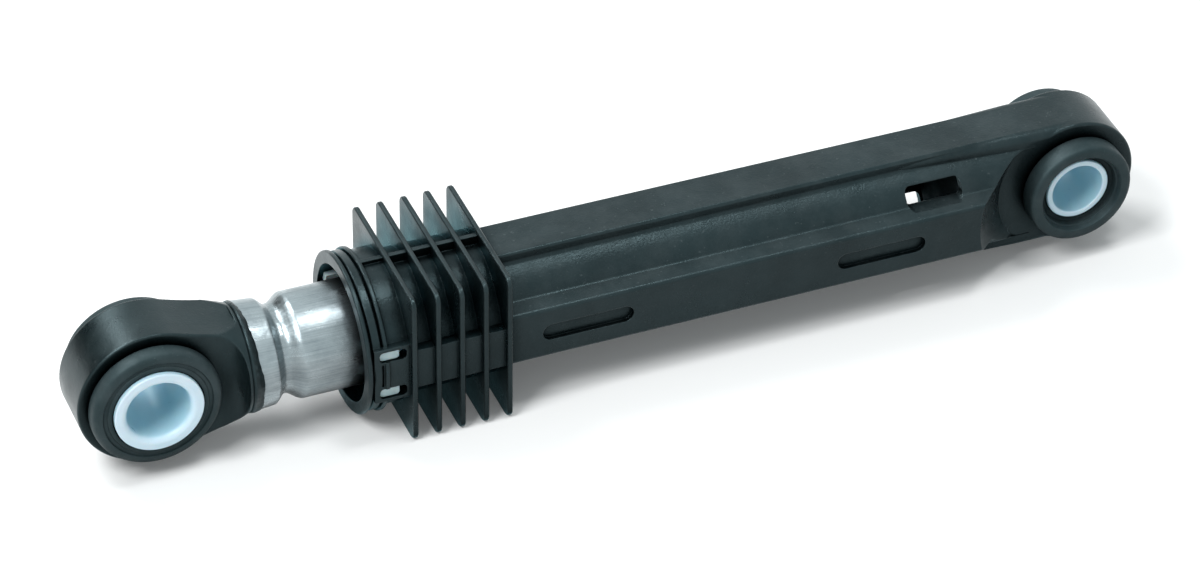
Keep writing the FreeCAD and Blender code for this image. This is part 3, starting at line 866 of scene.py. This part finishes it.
def turned_mesh(name: str, outline: Sequence[Point], centre: Vector, segments: int = 128) -> bpy.types.Object:
    """Turns a closed outline about an axis parallel to Y.

    Args:
        name: Name of the new object.
        outline: Radius and place along the axis of each point.
        centre: A point on the axis.
        segments: Spans around the axis.

    Returns:
        The new object, smooth shaded.
    """
    mesh = bmesh.new()
    rings = []
    for i in range(segments):
        turn = 2 * math.pi * i / segments
        spoke = Vector((math.cos(turn), 0, math.sin(turn)))
        rings.append([mesh.verts.new(centre + spoke * r + Vector((0, a, 0))) for r, a in outline])
    join_rings(mesh, rings)
    return finished_mesh(name, mesh)


def flat_sheet(name: str, half_x: float, half_y: float, level: float = 0.0) -> bpy.types.Object:
    """Builds a level rectangle about the origin.

    Args:
        name: Name of the new object.
        half_x: Half its side along X.
        half_y: Half its side along Y.
        level: Its height.

    Returns:
        The new object.
    """
    mesh = bmesh.new()
    corners = ((-half_x, -half_y), (half_x, -half_y), (half_x, half_y), (-half_x, half_y))
    mesh.faces.new([mesh.verts.new((x, y, level)) for x, y in corners])
    return finished_mesh(name, mesh)


def dress_node(node: str, finish: Finish) -> None:
    """Gives a solid of the frame its finish.

    Args:
        node: Name of the solid.
        finish: What it is made of.
    """
    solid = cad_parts[node]
    solid.data.materials.clear()
    solid.data.materials.append(finish.material())
    LOG.info("%s: packed solid with the %s finish", node, finish.slot)


def fit_piece(piece: bpy.types.Object, finish: Finish, body: str, *nodes: str) -> None:
    """Gives a piece its finish and its body, and the solids it stands for.

    Args:
        piece: The new object.
        finish: What it is made of.
        body: The body that it rides on.
        nodes: Solids that it replaces.
    """
    piece.data.materials.append(finish.material())
    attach(piece, body)
    if nodes:
        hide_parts(*nodes)
    faces = len(piece.data.polygons)
    LOG.info("%s: %d faces on %s, in place of %s", piece.name, faces, body, nodes or "nothing")


# Sub-assemblies


@dataclass(frozen=True)
class EyeBush:
    """Rubber spool and white sleeve of one eye, in metres.

    Attributes:
        prefix: What the names of both solids start with.
        body: The body that both ride on.
        neck_r: Radius of the spool between its flanges.
        cheek: Half the thickness of the eye.
        flange_round: Rounding of a flange's outer edge.
        face: Corners of a flange's face, out from the sleeve and down from the face.
        heel_round: Rounding of a flange's inner edge.
        lift: Gap between a flange and the eye's cheek.
        seat: Clearance to the eye and to the sleeve.
    """

    prefix: str
    body: str
    neck_r: float
    cheek: float
    flange_round: float
    face: tuple[Corner, ...]
    heel_round: float = 0.35 * MM
    lift: float = 0.6 * MM
    seat: float = 0.02 * MM

    def build(self) -> None:
        """Dresses the sleeve, and turns the spool with softer corners than the solid's."""
        dress_node(self.prefix + "_sleeve", SLEEVE_FINISH)
        solid = self.prefix + "_bush"
        low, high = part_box(solid)
        centre = (low + high) / 2
        flange_r = (high.x - low.x) / 2
        half = (high.y - low.y) / 2
        sleeve_low, sleeve_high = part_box(self.prefix + "_sleeve")
        inner = (sleeve_high.x - sleeve_low.x) / 2 + self.seat
        under = self.cheek + self.lift
        side = [
            Corner(self.neck_r - self.seat, under),
            Corner(flange_r, under, self.heel_round),
            Corner(flange_r, half, self.flange_round),
        ]
        side += [Corner(inner + c.radius, half - c.along, c.round) for c in self.face]
        side.append(Corner(inner, half - self.face[-1].along))
        other = [Corner(c.radius, -c.along, c.round) for c in reversed(side)]
        piece = turned_mesh(solid + "_turned", rounded_outline(other + side), centre)
        fit_piece(piece, RUBBER_FINISH, self.body, solid)


@dataclass(frozen=True)
class MouldFlash:
    """Thin uneven skin of the eye's moulding that laps over the lip of the tube, in metres.

    Attributes:
        start: Where it starts, under the eye's edge.
        lip: Where the tube's lip is.
        root_r: Radius at its start.
        lip_r: Radius of the tube's lip.
        taper: How quickly the tube narrows past its lip.
        sink: How deep its root lies.
        thickness: Its middle thickness.
        unevenness: Share by which the thickness wanders.
        shoulder: Thickness at its shoulders, as a share of the thickness at its crest.
        shoulder_back: How far its first shoulder lies before the lip.
        crest: Where its crest is, as a share of the lap.
        feather: Length of its thin edge.
        edge: Thickness of that edge.
        lip_gap: Gap between it and the lip.
        root_back: How far before the lip its root ends.
        least_lap: Its shortest lap past the lip.
        front_lap: What is added to that opposite the shortest lap.
        broad_wave: Height of the long waves of its edge.
        fine_wave: Height of the short ones.
        shortest: Angle of the shortest lap, in degrees from +Y towards +Z.
        segments: Spans around the tube.
    """

    start: float = 17.65 * MM
    lip: float = 18.3 * MM
    root_r: float = 10.36 * MM
    lip_r: float = 10.4 * MM
    taper: float = 0.095
    sink: float = 0.2 * MM
    thickness: float = 0.13 * MM
    unevenness: float = 0.45
    shoulder: float = 0.8
    shoulder_back: float = 0.1 * MM
    crest: float = 0.3
    feather: float = 0.12 * MM
    edge: float = 0.015 * MM
    lip_gap: float = 0.01 * MM
    root_back: float = 0.05 * MM
    least_lap: float = 0.25 * MM
    front_lap: float = 1.25 * MM
    broad_wave: float = 0.3 * MM
    fine_wave: float = 0.16 * MM
    shortest: float = 20.0
    segments: int = 260

    def wave(self, turn: float, waves: float, row: float) -> float:
        """Gives the value of a noise that closes around the tube, where row picks one of many."""
        return noise.noise(Vector((math.cos(turn) * waves, math.sin(turn) * waves, row)))

    def reach(self, turn: float) -> float:
        """Gives how far the skin laps along the tube.

        Args:
            turn: Angle around the tube, from +Y towards +Z.

        Returns:
            The place of its edge along X.
        """
        front = 0.5 - 0.5 * math.cos(turn - math.radians(self.shortest))
        lap = self.least_lap + self.front_lap * front
        lap += self.broad_wave * self.wave(turn, waves=2.1, row=0.3)
        lap += self.fine_wave * self.wave(turn, waves=11.0, row=4.7)
        return self.lip + lap

    def profile(self, turn: float) -> list[Point]:
        """Gives the skin's closed outline at one angle.

        Args:
            turn: Angle around the tube, from +Y towards +Z.

        Returns:
            Place along X and radius of each point.
        """
        end = self.reach(turn)
        end_r = self.lip_r - self.taper * (end - self.lip)
        skin = self.thickness * (1.0 + self.unevenness * self.wave(turn, waves=17.0, row=9.1))
        return [
            (self.start, self.root_r - self.sink),
            (self.start, self.root_r),
            (self.lip - self.shoulder_back, self.lip_r + skin * self.shoulder),
            (self.lip + self.crest * (end - self.lip), self.lip_r + skin),
            (end - self.feather, end_r + skin * self.shoulder),
            (end, end_r + self.edge),
            (self.lip, self.lip_r + self.lip_gap),
            (self.lip - self.root_back, self.root_r - self.sink),
        ]

    def build(self) -> None:
        """Builds the skin as a closed ring with a feathered edge."""
        mesh = bmesh.new()
        rings = []
        for i in range(self.segments):
            turn = 2 * math.pi * i / self.segments
            spoke = Vector((0, math.cos(turn), math.sin(turn)))
            rings.append([mesh.verts.new(spoke * r + Vector((x, 0, 0))) for x, r in self.profile(turn)])
        join_rings(mesh, rings)
        fit_piece(finished_mesh("rod_eye_flash", mesh), EYE_FINISH, "rod")


@dataclass(frozen=True)
class RodEnd:
    """The rod: tube, moulded eye with its bush and sleeve, and the plug at the inner end.

    Attributes:
        solids: Solids that keep their shape, with their finishes.
        flash: Skin of the eye's moulding on the tube.
        bush: Spool and sleeve of the eye.
    """

    solids: tuple[tuple[str, Finish], ...] = (
        ("rod_tube", ROD_FINISH),
        ("rod_eye", EYE_FINISH),
        ("rod_end_plug", EYE_FINISH),
    )
    flash: MouldFlash = MouldFlash()
    bush: EyeBush = EyeBush(
        prefix="rod_eye",
        body="rod",
        neck_r=10.3 * MM,
        cheek=5.7 * MM,
        flange_round=1.7 * MM,
        face=(
            Corner(2.0 * MM, 0, 0.12 * MM),
            Corner(1.8 * MM, 0.25 * MM, 0.1 * MM),
            Corner(1.2 * MM, 0.25 * MM, 0.1 * MM),
            Corner(1.0 * MM, 0, 0.12 * MM),
            Corner(0.25 * MM, 0, 0.15 * MM),
            Corner(0.0, 0.2 * MM),
        ),
    )

    def build(self) -> None:
        """Dresses the tube, eye and plug, and builds the bush and the moulding's flash."""
        for node, finish in self.solids:
            dress_node(node, finish)
        self.bush.build()
        self.flash.build()


@dataclass(frozen=True)
class Housing:
    """The housing: shell, bush and sleeve of its eye, and what sits in its bore.

    Attributes:
        solids: Solids that keep their shape, with their finishes.
        bush: Spool and sleeve of the eye.
    """

    solids: tuple[tuple[str, Finish], ...] = (
        ("housing_shell", HOUSING_FINISH),
        ("lining_holder", NATURAL_FINISH),
        ("rod_guide_bush", NATURAL_FINISH),
        ("friction_lining_outer", FOAM_FINISH),
        ("friction_lining_inner", FOAM_FINISH),
        ("end_buffer", RUBBER_FINISH),
    )
    bush: EyeBush = EyeBush(
        prefix="housing_eye",
        body="housing",
        neck_r=8.7 * MM,
        cheek=6.0 * MM,
        flange_round=1.1 * MM,
        face=(
            Corner(1.85 * MM, 0, 0.35 * MM),
            Corner(1.5 * MM, 1.1 * MM, 0.15 * MM),
            Corner(1.25 * MM, 1.2 * MM, 0.1 * MM),
            Corner(0.95 * MM, 2.4 * MM, 0.3 * MM),
            Corner(0.1 * MM, 2.4 * MM, 0.1 * MM),
            Corner(0.0, 2.5 * MM),
        ),
    )

    def build(self) -> None:
        """Dresses the shell and the inner pieces, and builds the bush."""
        for node, finish in self.solids:
            dress_node(node, finish)
        self.bush.build()


@dataclass(frozen=True)
class Guide:
    """The ring that centres the rod's inner end.

    Attributes:
        ring: Name of its solid.
    """

    ring: str = "rod_guide_ring"

    def build(self) -> None:
        """Dresses the ring."""
        dress_node(self.ring, NATURAL_FINISH)


# Studio


class Lamp(Enum):
    """The soft boxes, by where they stand."""

    KEY = "key"
    BACK = "back"
    TOP = "top"


@dataclass(frozen=True)
class SoftBox:
    """A large square lamp that faces the object.

    Attributes:
        name: Which lamp it is.
        place: Where it stands, in metres.
        size: Its side, in metres.
        power: Its power, in watts.
    """

    name: Lamp
    place: Place
    size: float
    power: float

    def build(self, target: Vector) -> None:
        """Builds the lamp.

        Args:
            target: The point that it faces.
        """
        data = bpy.data.lights.new("lamp_" + self.name.value, "AREA")
        data.energy = self.power
        data.size = self.size
        lamp = bpy.data.objects.new(data.name, data)
        lamp.location = self.place
        lamp.rotation_euler = (target - Vector(self.place)).to_track_quat("-Z", "Y").to_euler()
        bpy.context.scene.collection.objects.link(lamp)


@dataclass(frozen=True)
class DarkCard:
    """A dark card that keeps one side of the scene from showing in glossy faces.

    Attributes:
        name: Name of the card.
        place: Its centre, in metres.
        half_sides: Half its sides, in metres.
        facing: The way that it faces.
        grey: How light it is.
        blocks_light: Whether it shades the object, or only gloss meets it.
    """

    name: str
    place: Place
    half_sides: tuple[float, float]
    facing: Place
    grey: float = 0.02
    blocks_light: bool = True

    def build(self) -> None:
        """Builds the card, which the camera doesn't see."""
        card = flat_sheet(self.name, *self.half_sides)
        card.location = self.place
        card.rotation_euler = Vector(self.facing).to_track_quat("-Z", "Y").to_euler()
        card.visible_camera = False
        card.visible_shadow = self.blocks_light
        card.visible_diffuse = self.blocks_light
        made = bpy.data.materials.new("studio_" + self.name)
        tree = empty_tree(made)
        felt = tree.node("ShaderNodeBsdfDiffuse", {"Color": rgba((self.grey,) * 3)})
        tree.node("ShaderNodeOutputMaterial", {"Surface": felt.outputs[0]})
        card.data.materials.append(made)


@dataclass(frozen=True)
class Studio:
    """Camera, floor, lamps, cards and background.

    Attributes:
        camera_place: Where the camera stands, in metres.
        camera_right: The way to the right of its picture.
        camera_up: The way up in its picture.
        lens_mm: Its lens.
        sensor_mm: Width of its sensor.
        camera_near: Distance from which it sees, in metres.
        floor_half: Half the floor's side, in metres.
        floor_drop: Gap between the floor and the object, in metres.
        floor_colour: The floor's colour.
        floor_glow: What the floor adds to white where it is seen.
        world_fill: Strength of the background's light on the scene.
        world_tone: Colour of that light.
        lamps: The soft boxes.
        cards: The dark cards.
    """

    camera_place: Place = (-0.1948, -0.6873, 0.5718)
    camera_right: Place = (0.9276, -0.3734, 0.0113)
    camera_up: Place = (0.2202, 0.5710, 0.7908)
    lens_mm: float = 151.73
    sensor_mm: float = 36.0
    camera_near: float = 10.0 * MM
    floor_half: float = 3.0
    floor_drop: float = 0.05 * MM
    floor_colour: Colour = (0.82, 0.83, 0.83)
    floor_glow: float = 0.08
    world_fill: float = 0.46
    world_tone: Colour = (0.92, 0.985, 1.0)
    lamps: tuple[SoftBox, ...] = (
        SoftBox(Lamp.KEY, (-0.6, -0.3, 0.95), size=0.45, power=10.5),
        SoftBox(Lamp.BACK, (-0.3, 0.55, 0.85), size=0.42, power=7.0),
        SoftBox(Lamp.TOP, (0.25, -0.1, 0.9), size=0.2, power=1.9),
    )
    cards: tuple[DarkCard, ...] = (
        DarkCard("left_card", (-0.5, 0.35, 0.2), (0.7, 0.22), facing=(1.0, -0.5, 0.0)),
        DarkCard("front_card", (0.1, -0.1, -0.0155), (0.25, 0.084), facing=(0.0, 0.0, 1.0),
                 grey=0.52, blocks_light=False),
    )

    def build(self) -> None:
        """Builds everything round the object."""
        bpy.context.scene.view_settings.view_transform = "Standard"
        self.build_camera()
        self.build_floor()
        self.build_world()
        low, high = CAD_BOX
        for lamp in self.lamps:
            lamp.build((low + high) / 2)
        for card in self.cards:
            card.build()

    def build_camera(self) -> None:
        """Stands the camera where the photograph was taken from."""
        right = Vector(self.camera_right).normalized()
        up = Vector(self.camera_up)
        up = (up - right * up.dot(right)).normalized()
        back = right.cross(up)
        turn = Matrix((right, up, back)).transposed().to_4x4()
        data = bpy.data.cameras.new("camera")
        data.sensor_width = self.sensor_mm
        data.lens = self.lens_mm
        data.clip_start = self.camera_near
        camera = bpy.data.objects.new("camera", data)
        camera.matrix_world = Matrix.Translation(Vector(self.camera_place)) @ turn
        bpy.context.scene.collection.objects.link(camera)
        bpy.context.scene.camera = camera

    def build_floor(self) -> None:
        """Lays the floor under the lowest point of the object."""
        floor = flat_sheet("floor", self.floor_half, self.floor_half, CAD_BOX[0].z - self.floor_drop)
        floor.data.materials.append(self.floor_material())

    def seen_share(self, tree: Tree) -> bpy.types.NodeSocket:
        """Tells rays that end in the picture from light that fills the scene.

        Args:
            tree: The floor's or the world's tree.

        Returns:
            A socket that gives 1 to rays from the camera or from gloss and glass, and 0 to others.
        """
        path = tree.node("ShaderNodeLightPath").outputs
        seen = tree.calc("MAXIMUM", path["Is Camera Ray"], path["Is Glossy Ray"])
        return tree.calc("MAXIMUM", seen, path["Is Transmission Ray"])

    def floor_material(self) -> bpy.types.Material:
        """Makes the pale floor, which keeps the object's shadow.

        Returns:
            The material.
        """
        made = bpy.data.materials.new("studio_floor")
        tree = empty_tree(made)
        plain = tree.node("ShaderNodeBsdfDiffuse", {"Color": rgba(self.floor_colour)})
        strength = tree.calc("MULTIPLY", self.seen_share(tree), self.floor_glow)
        glow = tree.node("ShaderNodeEmission", {"Color": rgba(WHITE), "Strength": strength})
        both = tree.node("ShaderNodeAddShader", {0: plain.outputs[0], 1: glow.outputs[0]})
        tree.node("ShaderNodeOutputMaterial", {"Surface": both.outputs[0]})
        return made

    def build_world(self) -> None:
        """Surrounds the scene with white that fills it only softly."""
        world = bpy.data.worlds.new("studio")
        tree = empty_tree(world)
        strength = tree.spread(self.seen_share(tree), low=0.0, high=1.0, out_low=self.world_fill)
        from_camera = tree.node("ShaderNodeLightPath").outputs["Is Camera Ray"]
        tone = tree.blend(from_camera, self.world_tone, WHITE)
        air = tree.node("ShaderNodeBackground", {"Color": tone, "Strength": strength})
        tree.node("ShaderNodeOutputWorld", {"Surface": air.outputs[0]})
        bpy.context.scene.world = world


def main() -> None:
    """Builds the sub-assemblies and the studio, in order."""
    logging.basicConfig(level=logging.INFO, format="%(name)s %(message)s")
    for part in (Housing(), Guide(), RodEnd(), Studio()):
        part.build()
        LOG.info("%s built", type(part).__name__)


if __name__ == "__main__":
    main()
